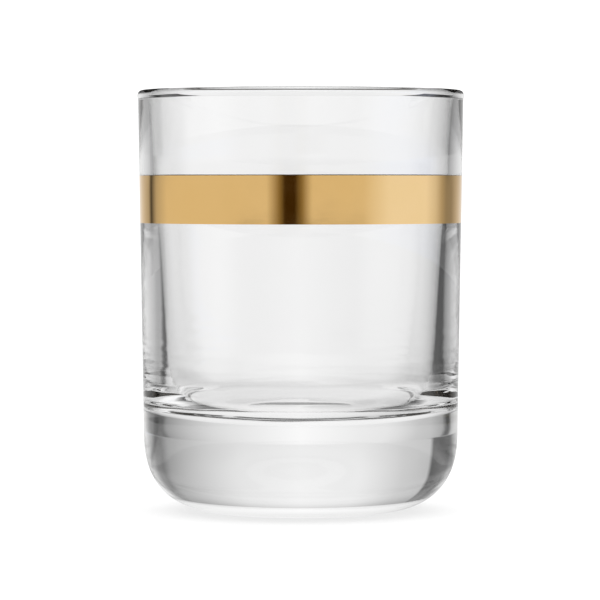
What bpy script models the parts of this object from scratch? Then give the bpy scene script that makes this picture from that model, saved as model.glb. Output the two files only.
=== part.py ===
"""A pressed shot glass with a gold band, in metres, +Z up.

The glass stands on the plane z = 0 and its axis is the Z axis. It is made of two pieces:
the one-piece glass body, and the band of gold fired on round its outside.
"""

import math

import bpy

# Glass body: the outside
HEIGHT = 0.0608
RIM_RADIUS = 0.02363
RIM_BEAD = 0.0008
RIM_STEP = 0.00013
RIM_FILLET = 0.00012
BASE_RADIUS = 0.02273
BASE_CORNER_HEIGHT = 0.0119
BASE_CORNER_POWER = 2.5
FOOT_RADIUS = 0.0106
FOOT_WIDTH = 0.0016
PUNT_DEPTH = 0.0003

# Glass body: the cavity, as the control points of its smooth outline
CAVITY = (
    (0.0, 0.0130), (0.0065, 0.0130), (0.0120, 0.0136), (0.0153, 0.0142), (0.0174, 0.0148),
    (0.0184, 0.0163), (0.0192, 0.0192), (0.0195, 0.0240), (0.0199, 0.0310), (0.02035, 0.0385),
    (0.02115, 0.0445), (0.0213, 0.0485), (0.02135, 0.0520), (0.0217, 0.0562),
)

# Gold band
BAND_TOP = 0.0485
BAND_WIDTH = 0.0068
BAND_GAP = 0.0003
BAND_THICKNESS = 0.0001

# Fineness of the meshes
TURN_STEPS = 72
CAVITY_STEPS_PER_SPAN = 2
RIM_STEPS = 5
FILLET_STEPS = 1
CORNER_STEPS = 12
WALL_RINGS = 2
SMOOTH_ANGLE = math.radians(35)
AXIS_MERGE = 0.00001

COLLECTION_NAME = "shot_glass"


def clear_scene():
    for obj in list(bpy.data.objects):
        bpy.data.objects.remove(obj)


def part_collection():
    collection = bpy.data.collections.new(COLLECTION_NAME)
    bpy.context.scene.collection.children.link(collection)
    return collection


def bead_drop():
    """How far the fillet under the rim's bead ends below the middle of the bead."""
    reach = RIM_BEAD + RIM_FILLET
    return math.sqrt(reach**2 - (reach - RIM_STEP) ** 2)


def wall_top():
    """Height at which the bead's fillet runs into the straight wall."""
    return HEIGHT - RIM_BEAD - bead_drop()


def outer_radius(height):
    """Radius of the straight, slightly tapered outer wall at a height."""
    share = (height - BASE_CORNER_HEIGHT) / (wall_top() - BASE_CORNER_HEIGHT)
    return BASE_RADIUS + (RIM_RADIUS - RIM_STEP - BASE_RADIUS) * share


def b_spline(controls, share):
    """Point on the cubic B-spline of four control points."""
    weights = (
        (1 - share) ** 3,
        3 * share**3 - 6 * share**2 + 4,
        -3 * share**3 + 3 * share**2 + 3 * share + 1,
        share**3,
    )
    return tuple(sum(w * c for w, c in zip(weights, axis)) / 6 for axis in zip(*controls))


def cavity(end):
    """The cavity's smooth outline, from the axis up to where the rim's fillet starts."""
    knots = [*CAVITY, end]
    mirrored = (-knots[1][0], knots[1][1])
    beyond = tuple(2 * last - before for last, before in zip(knots[-1], knots[-2]))
    controls = [mirrored, *knots, beyond]
    points = []
    for index in range(len(knots) - 1):
        for step in range(CAVITY_STEPS_PER_SPAN):
            share = step / CAVITY_STEPS_PER_SPAN
            points.append(b_spline(controls[index : index + 4], share))
    return points


def half_rim():
    """From the top of the rim over the bead and its fillet, about the bead's middle."""
    lowest = math.asin(bead_drop() / (RIM_BEAD + RIM_FILLET))
    points = []
    for step in range(RIM_STEPS + 1):
        angle = math.pi / 2 - (math.pi / 2 + lowest) * step / RIM_STEPS
        points.append((RIM_BEAD * math.cos(angle), RIM_BEAD * math.sin(angle)))
    fillet_middle = RIM_BEAD + RIM_FILLET - RIM_STEP
    for step in range(1, FILLET_STEPS + 1):
        angle = lowest * (1 - step / FILLET_STEPS)
        across = fillet_middle - RIM_FILLET * math.cos(angle)
        points.append((across, RIM_FILLET * math.sin(angle) - bead_drop()))
    return points


def rim():
    """The rounded rim, from the cavity over the bead to the outer wall."""
    half = half_rim()
    outline = [(-across, up) for across, up in reversed(half)] + half[1:]
    return [(RIM_RADIUS - RIM_BEAD + across, HEIGHT - RIM_BEAD + up) for across, up in outline]


def outer_wall():
    """Rings down the tapered outer wall, between the rim and the base's corner."""
    drop = wall_top() - BASE_CORNER_HEIGHT
    heights = [wall_top() - drop * ring / (WALL_RINGS + 1) for ring in range(1, WALL_RINGS + 1)]
    return [(outer_radius(height), height) for height in heights]


def base_corner():
    """The base's rounded outer corner, a quarter of a superellipse, down to the foot."""
    width = BASE_RADIUS - FOOT_RADIUS
    power = 2 / BASE_CORNER_POWER
    points = []
    for step in range(CORNER_STEPS + 1):
        angle = math.pi / 2 * step / CORNER_STEPS
        radius = FOOT_RADIUS + width * max(math.cos(angle), 0) ** power
        points.append((radius, BASE_CORNER_HEIGHT * (1 - math.sin(angle) ** power)))
    return points


def foot_and_punt():
    """The flat ring that the glass stands on, and the shallow hollow inside it."""
    ring_inside = FOOT_RADIUS - FOOT_WIDTH
    return [(ring_inside, 0), (ring_inside - FOOT_WIDTH / 2, PUNT_DEPTH), (0, PUNT_DEPTH)]


def glass_profile():
    """From the axis out along the floor, up the cavity, over the rim, down and back in."""
    rim_points = rim()
    return [
        *cavity(rim_points[0]),
        *rim_points,
        *outer_wall(),
        *base_corner(),
        *foot_and_punt(),
    ]


def band_profile():
    """A closed thin strip that follows the outer wall's taper."""
    bottom = BAND_TOP - BAND_WIDTH
    inner_top = outer_radius(BAND_TOP) + BAND_GAP
    inner_bottom = outer_radius(bottom) + BAND_GAP
    return [
        (inner_top + BAND_THICKNESS, BAND_TOP),
        (inner_bottom + BAND_THICKNESS, bottom),
        (inner_bottom, bottom),
        (inner_top, BAND_TOP),
    ]


def turned(name, profile, closed, material, collection):
    """A named object made by turning a profile, in the XZ plane, round the Z axis."""
    count = len(profile)
    edges = [(index, index + 1) for index in range(count - 1)]
    if closed:
        edges.append((count - 1, 0))
    mesh = bpy.data.meshes.new(name)
    mesh.from_pydata([(radius, 0, height) for radius, height in profile], edges, [])
    mesh.materials.append(material)
    obj = bpy.data.objects.new(name, mesh)
    collection.objects.link(obj)
    screw = obj.modifiers.new("turn", "SCREW")
    screw.steps = TURN_STEPS
    screw.render_steps = TURN_STEPS
    screw.use_merge_vertices = True
    screw.merge_threshold = AXIS_MERGE
    return obj


def shade_round(obj):
    """Replaces the turned profile by its mesh, smooth but for its true edges."""
    graph = bpy.context.evaluated_depsgraph_get()
    mesh = bpy.data.meshes.new_from_object(obj.evaluated_get(graph))
    obj.modifiers.clear()
    obj.data = mesh
    mesh.shade_smooth()
    mesh.set_sharp_from_angle(angle=SMOOTH_ANGLE)


def principled(name, colour, roughness, metallic=0, transmission=0, ior=1.5):
    material = bpy.data.materials.new(name)
    material.use_nodes = True
    shader = material.node_tree.nodes["Principled BSDF"]
    shader.inputs["Base Color"].default_value = (*colour, 1)
    shader.inputs["Roughness"].default_value = roughness
    shader.inputs["Metallic"].default_value = metallic
    shader.inputs["Transmission Weight"].default_value = transmission
    shader.inputs["IOR"].default_value = ior
    return material


def clear_glass():
    return principled("clear_glass", (0.97, 0.98, 0.98), 0.02, transmission=1, ior=1.52)


def fired_gold():
    return principled("fired_gold", (0.85, 0.56, 0.22), 0.12, metallic=1)


def make_glass_body(collection):
    shade_round(turned("glass_body", glass_profile(), False, clear_glass(), collection))


def make_gold_band(collection):
    shade_round(turned("gold_band", band_profile(), True, fired_gold(), collection))


def main():
    clear_scene()
    collection = part_collection()
    make_glass_body(collection)
    make_gold_band(collection)


main()
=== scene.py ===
"""Looks of the shot glass: clear pressed glass with a bright gold band, in a white studio."""

import math

import bpy
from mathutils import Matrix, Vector, noise


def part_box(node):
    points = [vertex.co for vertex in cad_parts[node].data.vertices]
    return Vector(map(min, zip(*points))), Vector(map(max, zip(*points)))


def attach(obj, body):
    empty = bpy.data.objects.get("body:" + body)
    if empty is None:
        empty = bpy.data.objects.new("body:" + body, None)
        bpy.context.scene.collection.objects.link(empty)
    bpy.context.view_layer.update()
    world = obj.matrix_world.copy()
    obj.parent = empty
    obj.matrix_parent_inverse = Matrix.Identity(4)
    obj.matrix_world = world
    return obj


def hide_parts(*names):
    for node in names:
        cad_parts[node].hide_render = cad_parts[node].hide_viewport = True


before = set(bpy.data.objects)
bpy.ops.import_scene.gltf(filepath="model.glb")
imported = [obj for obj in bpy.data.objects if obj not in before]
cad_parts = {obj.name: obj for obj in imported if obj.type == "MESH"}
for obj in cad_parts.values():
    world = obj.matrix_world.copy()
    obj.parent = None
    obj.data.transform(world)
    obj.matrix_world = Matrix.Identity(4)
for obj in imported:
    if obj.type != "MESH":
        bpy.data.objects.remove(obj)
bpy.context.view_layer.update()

# The glass, in metres, as the CAD part has it
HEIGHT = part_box("glass_body")[1].z
RIM_RADIUS = 0.02363
BASE_RADIUS = 0.02273
BASE_CORNER_HEIGHT = 0.0119
BASE_CORNER_POWER = 2.5
FOOT_RADIUS = 0.0106
FOOT_WIDTH = 0.0016
PUNT_DEPTH = 0.0003
RIM_BEAD = 0.0008
RIM_STEP = 0.00013
RIM_FILLET = 0.00012
# Control points of the cavity's outline
CAVITY = (
    (0.0, 0.0130), (0.0065, 0.0130), (0.0120, 0.0136), (0.0153, 0.0142), (0.0174, 0.0148),
    (0.0184, 0.0163), (0.0192, 0.0192), (0.0195, 0.0240), (0.0199, 0.0310), (0.02035, 0.0385),
    (0.02115, 0.0445), (0.0213, 0.0485), (0.02135, 0.0520), (0.0217, 0.0562),
)

# Unevenness of the pressed cavity, in metres: fine streaks round the foot of its wall, ripples
# on its floor and a faint swell all over
STREAK_HEIGHT = 0.000025
STREAK_LENGTH = 0.009
STREAK_SPACING = 0.0008
STREAKS_FROM = 0.0140
STREAKS_FULL = 0.0165
STREAKS_FADE = 0.0180
STREAKS_TO = 0.0340
RIPPLE_HEIGHT = 0.00005
RIPPLE_LENGTH = 0.0060
SWELL_HEIGHT = 0.000006
SWELL_LENGTH = 0.014
# What tells the cavity's surface from the outside: it lies above this height and this far in
CAVITY_LOWEST = 0.0120
THINNEST_WALL = 0.0009

# The gold film, which reaches a little into the glass so that no air gap shows
BAND_BOTTOM, BAND_TOP = (corner.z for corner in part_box("gold_band"))
FILM_INSIDE = 0.000006
FILM_OUTSIDE = 0.000012

# Fineness of the meshes
TURN_STEPS = 256
RIM_STEPS = 14
FILLET_STEPS = 8
CORNER_STEPS = 40
WALL_STEPS_PER_SPAN = 18
WALL_RINGS = 10
AXIS_MERGE = 0.000001
SMOOTH_ANGLE = math.radians(40)

# Looks of the glass and of the gold: colours, ranges of roughness, and in metres the spacing of
# their variation and the depth of their relief
GLASS_IOR = 1.52
GLASS_ROUGHNESS = (0.0, 0.012)
GLASS_PATCHES = 0.006
GLASS_PEEL = 0.004
GLASS_RELIEF = 0.0000004
GOLD_DEEP = (0.92, 0.59, 0.225, 1)
GOLD_PALE = (0.94, 0.61, 0.245, 1)
GOLD_PATCHES = 0.010
GOLD_ROUGHNESS = (0.035, 0.065)
GOLD_GRAIN = 0.003
GOLD_RELIEF = 0.0000001
BRUSH_LINES = 0.006
BRUSH_STRETCH = (1, 1, 20)
UNDERSIDE_DARK = (0.08, 0.068, 0.052, 1)
UNDERSIDE_LIGHT = (0.12, 0.102, 0.078, 1)
UNDERSIDE_METALLIC = 0.5
UNDERSIDE_ROUGHNESS = (0.30, 0.40)
UNDERSIDE_GRAIN = 0.002
# Nearly all of a noise texture's values lie between these two
NOISE_LOW = 0.3
NOISE_HIGH = 0.7

# The camera, at the photograph's viewing angle
CAMERA_SIDE = -0.0001
CAMERA_DISTANCE = 0.5
CAMERA_HEIGHT = 0.0474
AIM_HEIGHT = 0.0305
FRAME_WIDTH_AT_GLASS = 0.0869
SENSOR_WIDTH = 36

# The colours of the studio's tinted light
COOL_LIGHT = (0.9, 1.0, 1.3)
COOL_EDGE = (0.7, 0.75, 0.9)
GAP_EDGE = (0.25, 0.2, 0.1)
GAP_DARK = (0.04, 0.02, 0.0)

# The studio round the glass, against azimuth in degrees: 0 is towards the camera and positive
# azimuths are on its right. Each entry is a grey level, or a colour where the light is tinted.
# Painted light and shade on the table right under and beside the glass, which shows through the
# cavity's floor: a painted shadow of the glass, lighter or darker with azimuth
NEAR_PAINTED_SHADOW_PLAN = (
    (-180, 0.85), (-115, 0.7), (-60, 0.9), (0, 0.95), (40, 0.85), (85, 0.6), (112, 0.6),
    (140, 0.85), (180, 0.85),
)
# Painted light and shade on the table farther out: painted shade towards the camera and beside the
# flags
FAR_PAINTED_LIGHT_AND_SHADE_PLAN = (
    (-180, 1.0), (-160, 0.8), (-148, 0.55), (-131, 0.4), (-126, 0.05), (-122, 0.05),
    (-118, 0.5), (-110, 0.75), (-62, 0.75), (-45, 0.15), (40, 0.15), (60, 0.75), (72, 0.95),
    (102, 0.95), (112, 0.3), (118, 0.1), (134, 0.05), (138, 0.25), (150, 0.5), (165, 0.8),
    (180, 1.0),
)
# Distances from the axis between which the near table turns into the far one
NEAR_TO = 0.026
FAR_FROM = 0.060
# The walls above the horizon, which the solid base turns upside down and left to right
WALL_PLAN = (
    (-180, 0.9), (-165, 0.85), (-150, 0.6), (-136, 0.5), (-134, 0.05), (-116, 0.05),
    (-108, 0.3), (-98, 0.75), (40, 0.75), (66, 1.0), (102, 1.0), (114, 0.35), (121, 0.1),
    (128, 0.1), (134, 0.3), (150, 0.55), (165, 0.8), (180, 0.9),
)
# The strip just under the horizon, beyond the table, which the upright gold band mirrors:
# a dark flag on the left, a warm dark gap round the camera and a large cool light on the right
HORIZON_PLAN = (
    (-180, 0.95), (-160, 0.8), (-139, 0.45), (-134, 0.05), (-125, 0.5), (-110, 0.75),
    (-24, 0.75), (-15, GAP_EDGE), (-11, GAP_DARK), (-4, GAP_DARK), (1, GAP_EDGE), (8, 0.75),
    (45, 0.75), (65, COOL_LIGHT), (100, COOL_LIGHT), (112, COOL_EDGE), (120, 0.45),
    (127, 0.3), (136, 0.3), (146, 0.5), (160, 0.75), (180, 0.95),
)
# The rise of a direction, as the sine of its elevation, between which the horizon strip turns
# into the walls, and the walls into the ceiling
HORIZON_FROM = -0.014
HORIZON_TO = -0.004
CEILING_FROM = 0.36
CEILING_TO = 0.80
# The ceiling lights the table but hardly shows in the glass; the camera sees the backdrop
CEILING_LIGHT = 2.4
CEILING_SEEN = 0.12
BACKDROP = 1.2

# Two black flags behind the rim that only the glass sees, each from one azimuth to another
# and from one (distance, height) to another
FLAGS = {
    "flag_left": (-158, -112, (0.060, 0.0645), (0.060, 0.090)),
    "flag_right": (112, 158, (0.060, 0.0645), (0.060, 0.090)),
}
FLAG_STEPS = 12
FLAG_BLACK = (0.01, 0.01, 0.01, 1)

# The lit table under the glass
FLOOR_RADIUS = 0.9
FLOOR_CORNERS = 96
FLOOR_COLOR = (0.2, 0.2, 0.2, 1)
FLOOR_ROUGHNESS = 0.9
FLOOR_GLOW = 0.78

# Light bounces many times inside the glass
BOUNCES = 48
GLOSSY_BOUNCES = 24


def bead_drop():
    """How far the fillet under the rim's bead lies below the middle of the bead."""
    reach = RIM_BEAD + RIM_FILLET
    return math.sqrt(reach**2 - (reach - RIM_STEP) ** 2)


def wall_top():
    """Height at which the bead's fillet runs into the straight wall."""
    return HEIGHT - RIM_BEAD - bead_drop()


def outer_radius(height):
    """Radius of the straight, slightly tapered outer wall at a height."""
    share = (height - BASE_CORNER_HEIGHT) / (wall_top() - BASE_CORNER_HEIGHT)
    return BASE_RADIUS + (RIM_RADIUS - RIM_STEP - BASE_RADIUS) * share


def b_spline(first, second, third, fourth, share):
    """Point on the cubic B-spline of four control points."""
    weights = (
        (1 - share) ** 3,
        3 * share**3 - 6 * share**2 + 4,
        -3 * share**3 + 3 * share**2 + 3 * share + 1,
        share**3,
    )
    corners = zip(first, second, third, fourth)
    return tuple(sum(w * c for w, c in zip(weights, axis)) / 6 for axis in corners)


def cavity(end):
    """The smooth cavity outline, from the axis to the rim's inner side."""
    knots = [*CAVITY, end]
    before = (-knots[1][0], knots[1][1])
    after = tuple(2 * a - b for a, b in zip(knots[-1], knots[-2]))
    controls = [before, *knots, after]
    points = []
    for index in range(len(knots) - 1):
        for step in range(WALL_STEPS_PER_SPAN):
            points.append(b_spline(*controls[index : index + 4], step / WALL_STEPS_PER_SPAN))
    return points


def half_rim():
    """The bead and its fillet from the top of the rim to the outer wall, about the bead's middle."""
    lowest = math.asin(bead_drop() / (RIM_BEAD + RIM_FILLET))
    points = []
    for step in range(RIM_STEPS + 1):
        angle = math.pi / 2 - (math.pi / 2 + lowest) * step / RIM_STEPS
        points.append((RIM_BEAD * math.cos(angle), RIM_BEAD * math.sin(angle)))
    middle = RIM_BEAD + RIM_FILLET - RIM_STEP
    for step in range(1, FILLET_STEPS + 1):
        angle = lowest * (1 - step / FILLET_STEPS)
        across = middle - RIM_FILLET * math.cos(angle)
        points.append((across, RIM_FILLET * math.sin(angle) - bead_drop()))
    return points


def rim():
    """The rim from the cavity's wall over the bead to the outer wall."""
    half = half_rim()
    outline = [(-across, up) for across, up in reversed(half)] + half[1:]
    return [(RIM_RADIUS - RIM_BEAD + across, HEIGHT - RIM_BEAD + up) for across, up in outline]


def outer_wall():
    """The straight wall, from under the rim's fillet to above the base's corner."""
    drop = wall_top() - BASE_CORNER_HEIGHT
    heights = [wall_top() - drop * ring / (WALL_RINGS + 1) for ring in range(1, WALL_RINGS + 1)]
    return [(outer_radius(height), height) for height in heights]


def base_corner():
    """The base's large corner, a superellipse from the wall to the foot ring."""
    width = BASE_RADIUS - FOOT_RADIUS
    power = 2 / BASE_CORNER_POWER
    points = []
    for step in range(CORNER_STEPS + 1):
        angle = math.pi / 2 * step / CORNER_STEPS
        radius = FOOT_RADIUS + width * max(math.cos(angle), 0) ** power
        points.append((radius, BASE_CORNER_HEIGHT * (1 - math.sin(angle) ** power)))
    return points


def foot_and_punt():
    """The flat ring that the glass stands on and the shallow hollow inside it."""
    ring_inside = FOOT_RADIUS - FOOT_WIDTH
    return [(ring_inside, 0), (ring_inside - FOOT_WIDTH / 2, PUNT_DEPTH), (0, PUNT_DEPTH)]


def glass_profile():
    """The glass's whole outline, from the cavity's floor on the axis round to the underside."""
    rim_points = rim()
    return [
        *cavity(rim_points[0]),
        *rim_points,
        *outer_wall(),
        *base_corner(),
        *foot_and_punt(),
    ]


def film_profile():
    """A closed strip that starts just inside the glass's surface and ends just outside it."""
    return [
        (outer_radius(BAND_TOP) + FILM_OUTSIDE, BAND_TOP),
        (outer_radius(BAND_BOTTOM) + FILM_OUTSIDE, BAND_BOTTOM),
        (outer_radius(BAND_BOTTOM) - FILM_INSIDE, BAND_BOTTOM),
        (outer_radius(BAND_TOP) - FILM_INSIDE, BAND_TOP),
    ]


def turned(name, profile, closed):
    """A smooth object turned about the Z axis from a profile, open or closed."""
    count = len(profile)
    edges = [(index, index + 1) for index in range(count - 1)]
    if closed:
        edges.append((count - 1, 0))
    mesh = bpy.data.meshes.new(name)
    mesh.from_pydata([(radius, 0, height) for radius, height in profile], edges, [])
    obj = bpy.data.objects.new(name, mesh)
    bpy.context.scene.collection.objects.link(obj)
    screw = obj.modifiers.new("turn", "SCREW")
    screw.steps = TURN_STEPS
    screw.render_steps = TURN_STEPS
    screw.use_merge_vertices = True
    screw.merge_threshold = AXIS_MERGE
    graph = bpy.context.evaluated_depsgraph_get()
    solid = bpy.data.meshes.new_from_object(obj.evaluated_get(graph))
    obj.modifiers.clear()
    obj.data = solid
    solid.shade_smooth()
    solid.set_sharp_from_angle(angle=SMOOTH_ANGLE)
    return obj


def smooth_step(start, end, value):
    """Goes smoothly from 0 to 1 as a value goes from start to end."""
    share = min(max((value - start) / (end - start), 0), 1)
    return share * share * (3 - 2 * share)


def unevenness(place):
    """How far the pressed surface of the cavity stands off its true shape at a place."""
    rising = smooth_step(STREAKS_FROM, STREAKS_FULL, place.z)
    falling = 1 - smooth_step(STREAKS_FADE, STREAKS_TO, place.z)
    stretched = Vector((place.x / STREAK_LENGTH, place.y / STREAK_LENGTH, place.z / STREAK_SPACING))
    streaks = noise.noise(stretched) * rising * falling
    ripples = noise.noise(place / RIPPLE_LENGTH) * (1 - rising)
    swell = noise.noise(place / SWELL_LENGTH)
    return STREAK_HEIGHT * streaks + RIPPLE_HEIGHT * ripples + SWELL_HEIGHT * swell


def press_cavity(mesh):
    """Makes the cavity's surface slightly uneven, as a plunger leaves it."""
    moves = []
    for vertex in mesh.vertices:
        place = vertex.co
        radius = math.hypot(place.x, place.y)
        inside = place.z > CAVITY_LOWEST and radius < outer_radius(place.z) - THINNEST_WALL
        moves.append(vertex.normal * unevenness(place) if inside else None)
    for vertex, move in zip(mesh.vertices, moves):
        if move:
            vertex.co += move


def new_material(name):
    """A material, its Principled shader and its object coordinates."""
    material = bpy.data.materials.new(name)
    material.use_nodes = True
    tree = material.node_tree
    place = tree.nodes.new("ShaderNodeTexCoord").outputs["Object"]
    return material, tree.nodes["Principled BSDF"], place


def noise_level(tree, place, spacing, low, high, stretch=(1, 1, 1)):
    """A noise of a given spacing in metres, spread between two levels."""
    scaled = tree.nodes.new("ShaderNodeVectorMath")
    scaled.operation = "MULTIPLY"
    tree.links.new(place, scaled.inputs[0])
    scaled.inputs[1].default_value = stretch
    texture = tree.nodes.new("ShaderNodeTexNoise")
    texture.inputs["Scale"].default_value = 1 / spacing
    tree.links.new(scaled.outputs[0], texture.inputs["Vector"])
    spread = tree.nodes.new("ShaderNodeMapRange")
    for socket, number in zip(spread.inputs[1:5], (NOISE_LOW, NOISE_HIGH, low, high)):
        socket.default_value = number
    tree.links.new(texture.outputs[0], spread.inputs["Value"])
    return spread.outputs[0]


def relief(tree, shader, height, depth):
    """Gives a shader a fine relief of a depth in metres."""
    bump = tree.nodes.new("ShaderNodeBump")
    bump.inputs["Strength"].default_value = 1
    bump.inputs["Distance"].default_value = depth
    tree.links.new(height, bump.inputs["Height"])
    tree.links.new(bump.outputs[0], shader.inputs["Normal"])


def tone_between(tree, shader, level, first, second):
    """Colours a shader between two colours by a level from 0 to 1."""
    tone = tree.nodes.new("ShaderNodeValToRGB")
    tone.color_ramp.elements[0].color = first
    tone.color_ramp.elements[1].color = second
    tree.links.new(level, tone.inputs[0])
    tree.links.new(tone.outputs[0], shader.inputs["Base Color"])


def clear_glass():
    """Clear pressed glass, fire polished, with the faintest orange peel."""
    material, shader, place = new_material("clear_glass")
    tree = material.node_tree
    shader.inputs["Base Color"].default_value = (1, 1, 1, 1)
    shader.inputs["IOR"].default_value = GLASS_IOR
    shader.inputs["Transmission Weight"].default_value = 1
    roughness = noise_level(tree, place, GLASS_PATCHES, *GLASS_ROUGHNESS)
    tree.links.new(roughness, shader.inputs["Roughness"])
    relief(tree, shader, noise_level(tree, place, GLASS_PEEL, 0, 1), GLASS_RELIEF)
    return material


def fired_gold():
    """Bright gold, fired on by a brush that left faint lines round the glass."""
    material, shader, place = new_material("fired_gold")
    tree = material.node_tree
    shader.inputs["Metallic"].default_value = 1
    tone_between(tree, shader, noise_level(tree, place, GOLD_PATCHES, 0, 1), GOLD_DEEP, GOLD_PALE)
    roughness = noise_level(tree, place, GOLD_GRAIN, *GOLD_ROUGHNESS)
    tree.links.new(roughness, shader.inputs["Roughness"])
    lines = noise_level(tree, place, BRUSH_LINES, 0, 1, BRUSH_STRETCH)
    relief(tree, shader, lines, GOLD_RELIEF)
    return material


def gold_underside():
    """The side of the fired gold that lies against the glass: dull and dark."""
    material, shader, place = new_material("gold_underside")
    tree = material.node_tree
    shader.inputs["Metallic"].default_value = UNDERSIDE_METALLIC
    level = noise_level(tree, place, UNDERSIDE_GRAIN, 0, 1)
    tone_between(tree, shader, level, UNDERSIDE_DARK, UNDERSIDE_LIGHT)
    roughness = noise_level(tree, place, UNDERSIDE_GRAIN, *UNDERSIDE_ROUGHNESS)
    tree.links.new(roughness, shader.inputs["Roughness"])
    return material


def maths(tree, operation, first, second):
    """The output of a maths node on two values, each a node output or a number."""
    made = tree.nodes.new("ShaderNodeMath")
    made.operation = operation
    for socket, value in zip(made.inputs, (first, second)):
        if isinstance(value, (int, float)):
            socket.default_value = value
        else:
            tree.links.new(value, socket)
    return made.outputs[0]


def studio_light(tree, direction, plan):
    """The light that a plan gives in a direction round the glass, as a node output."""
    split = tree.nodes.new("ShaderNodeSeparateXYZ")
    tree.links.new(direction, split.inputs[0])
    towards_camera = maths(tree, "MULTIPLY", split.outputs[1], -1)
    azimuth = maths(tree, "ARCTAN2", split.outputs[0], towards_camera)
    place = maths(tree, "ADD", maths(tree, "DIVIDE", azimuth, 2 * math.pi), 0.5)
    ramp = tree.nodes.new("ShaderNodeValToRGB")
    tree.links.new(place, ramp.inputs[0])
    stops = ramp.color_ramp.elements
    while len(stops) > 1:
        stops.remove(stops[-1])
    for index, (degrees, level) in enumerate(plan):
        position = degrees / 360 + 0.5
        stop = stops[0] if index == 0 else stops.new(position)
        stop.position = position
        stop.color = (*level, 1) if isinstance(level, tuple) else (level, level, level, 1)
    return ramp.outputs[0]


def smooth_range(tree, value, start, end, low=0, high=1):
    """Goes smoothly from low to high as a value goes from start to end."""
    made = tree.nodes.new("ShaderNodeMapRange")
    made.interpolation_type = "SMOOTHSTEP"
    for socket, number in zip(made.inputs[1:5], (start, end, low, high)):
        socket.default_value = number
    tree.links.new(value, made.inputs["Value"])
    return made.outputs[0]


def mixed(tree, share, first, second):
    """A colour between two colours, each a node output or a grey level."""
    made = tree.nodes.new("ShaderNodeMix")
    made.data_type = "RGBA"
    tree.links.new(share, made.inputs["Factor"])
    for socket, value in zip((made.inputs["A"], made.inputs["B"]), (first, second)):
        if isinstance(value, (int, float)):
            socket.default_value = (value, value, value, 1)
        else:
            tree.links.new(value, socket)
    return made.outputs["Result"]


def make_world():
    """The studio: its horizon strip, walls and ceiling. The camera itself sees a white backdrop."""
    world = bpy.data.worlds.new("studio")
    world.use_nodes = True
    bpy.context.scene.world = world
    tree = world.node_tree
    direction = tree.nodes.new("ShaderNodeTexCoord").outputs["Generated"]
    split = tree.nodes.new("ShaderNodeSeparateXYZ")
    tree.links.new(direction, split.inputs[0])
    up = split.outputs[2]
    horizon = studio_light(tree, direction, HORIZON_PLAN)
    walls = studio_light(tree, direction, WALL_PLAN)
    rays = tree.nodes.new("ShaderNodeLightPath")
    extra = maths(tree, "MULTIPLY", rays.outputs["Is Diffuse Ray"], CEILING_LIGHT - CEILING_SEEN)
    ceiling = maths(tree, "ADD", extra, CEILING_SEEN)
    round_glass = mixed(tree, smooth_range(tree, up, HORIZON_FROM, HORIZON_TO), horizon, walls)
    studio = mixed(tree, smooth_range(tree, up, CEILING_FROM, CEILING_TO), round_glass, ceiling)
    seen = mixed(tree, rays.outputs["Is Camera Ray"], studio, BACKDROP)
    tree.links.new(seen, tree.nodes["Background"].inputs["Color"])


def table_material():
    """White as the camera sees it. Through the glass it glows with painted light and shade: the
    studio's light and dark sides carried on across the table, and a painted shadow round the glass.
    """
    material = bpy.data.materials.new("floor")
    material.use_nodes = True
    tree = material.node_tree
    table = tree.nodes["Principled BSDF"]
    table.inputs["Base Color"].default_value = FLOOR_COLOR
    table.inputs["Roughness"].default_value = FLOOR_ROUGHNESS
    table.inputs["Specular IOR Level"].default_value = 0
    table.inputs["Emission Color"].default_value = (1, 1, 1, 1)
    table.inputs["Emission Strength"].default_value = FLOOR_GLOW
    place = tree.nodes.new("ShaderNodeNewGeometry").outputs["Position"]
    distance = tree.nodes.new("ShaderNodeVectorMath")
    distance.operation = "LENGTH"
    tree.links.new(place, distance.inputs[0])
    outwards = smooth_range(tree, distance.outputs["Value"], NEAR_TO, FAR_FROM)
    # Painted light and shade for rays through the glass: a painted shadow round the glass, and
    # painted shade towards the camera and beside the flags farther out
    near = studio_light(tree, place, NEAR_PAINTED_SHADOW_PLAN)
    far = studio_light(tree, place, FAR_PAINTED_LIGHT_AND_SHADE_PLAN)
    painted_glow = tree.nodes.new("ShaderNodeEmission")
    tree.links.new(mixed(tree, outwards, near, far), painted_glow.inputs["Color"])
    rays = tree.nodes.new("ShaderNodeLightPath")
    direct = maths(tree, "MAXIMUM", rays.outputs["Is Camera Ray"], rays.outputs["Is Diffuse Ray"])
    mix = tree.nodes.new("ShaderNodeMixShader")
    tree.links.new(direct, mix.inputs[0])
    tree.links.new(painted_glow.outputs[0], mix.inputs[1])
    tree.links.new(table.outputs[0], mix.inputs[2])
    tree.links.new(mix.outputs[0], tree.nodes["Material Output"].inputs["Surface"])
    return material


def make_floor():
    """The round table that the glass stands on."""
    bpy.ops.mesh.primitive_circle_add(
        vertices=FLOOR_CORNERS, radius=FLOOR_RADIUS, fill_type="NGON"
    )
    floor = bpy.context.object
    floor.name = "floor"
    floor.data.materials.append(table_material())


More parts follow.
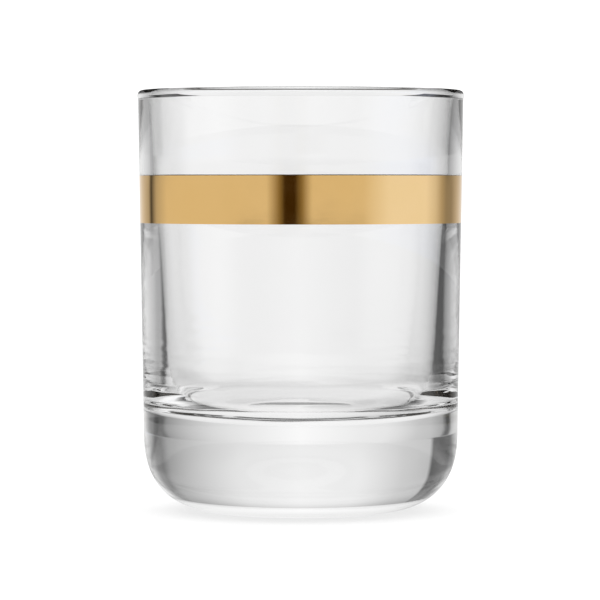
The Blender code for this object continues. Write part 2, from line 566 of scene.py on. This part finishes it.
def make_flag(name, first, last, *edges):
    """A black card, curved round the glass, that neither the camera nor the table sees."""
    corners = []
    for step in range(FLAG_STEPS + 1):
        azimuth = math.radians(first + (last - first) * step / FLAG_STEPS)
        for distance, height in edges:
            corners.append((distance * math.sin(azimuth), -distance * math.cos(azimuth), height))
    faces = [(i, i + 1, i + 3, i + 2) for i in range(0, 2 * FLAG_STEPS, 2)]
    mesh = bpy.data.meshes.new(name)
    mesh.from_pydata(corners, [], faces)
    card = bpy.data.objects.new(name, mesh)
    bpy.context.scene.collection.objects.link(card)
    material = bpy.data.materials.new(name)
    material.use_nodes = True
    shader = material.node_tree.nodes["Principled BSDF"]
    shader.inputs["Base Color"].default_value = FLAG_BLACK
    shader.inputs["Specular IOR Level"].default_value = 0
    shader.inputs["Roughness"].default_value = 1
    mesh.materials.append(material)
    card.visible_camera = False
    card.visible_diffuse = False
    card.visible_shadow = False


def make_camera():
    """The scene's camera, aimed at the glass."""
    data = bpy.data.cameras.new("camera")
    camera = bpy.data.objects.new("camera", data)
    bpy.context.scene.collection.objects.link(camera)
    bpy.context.scene.camera = camera
    camera.location = (CAMERA_SIDE, -CAMERA_DISTANCE, CAMERA_HEIGHT)
    aim = Vector((CAMERA_SIDE, 0, AIM_HEIGHT))
    camera.rotation_euler = (aim - camera.location).to_track_quat("-Z", "Y").to_euler()
    data.sensor_width = SENSOR_WIDTH
    data.lens = SENSOR_WIDTH * (aim - camera.location).length / FRAME_WIDTH_AT_GLASS


glass = turned("glass", glass_profile(), False)
press_cavity(glass.data)
glass.data.materials.append(clear_glass())
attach(glass, "root")
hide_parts("glass_body")

band = turned("band", film_profile(), True)
band.data.materials.append(fired_gold())
band.data.materials.append(gold_underside())
for polygon in band.data.polygons:
    outward = polygon.normal.x * polygon.center.x + polygon.normal.y * polygon.center.y
    polygon.material_index = 1 if outward < 0 else 0
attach(band, "root")
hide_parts("gold_band")

make_world()
make_floor()
for name, (first, last, *edges) in FLAGS.items():
    make_flag(name, first, last, *edges)
make_camera()
bpy.context.scene.view_settings.view_transform = "Standard"
bpy.context.scene.cycles.max_bounces = BOUNCES
bpy.context.scene.cycles.transmission_bounces = BOUNCES
bpy.context.scene.cycles.glossy_bounces = GLOSSY_BOUNCES
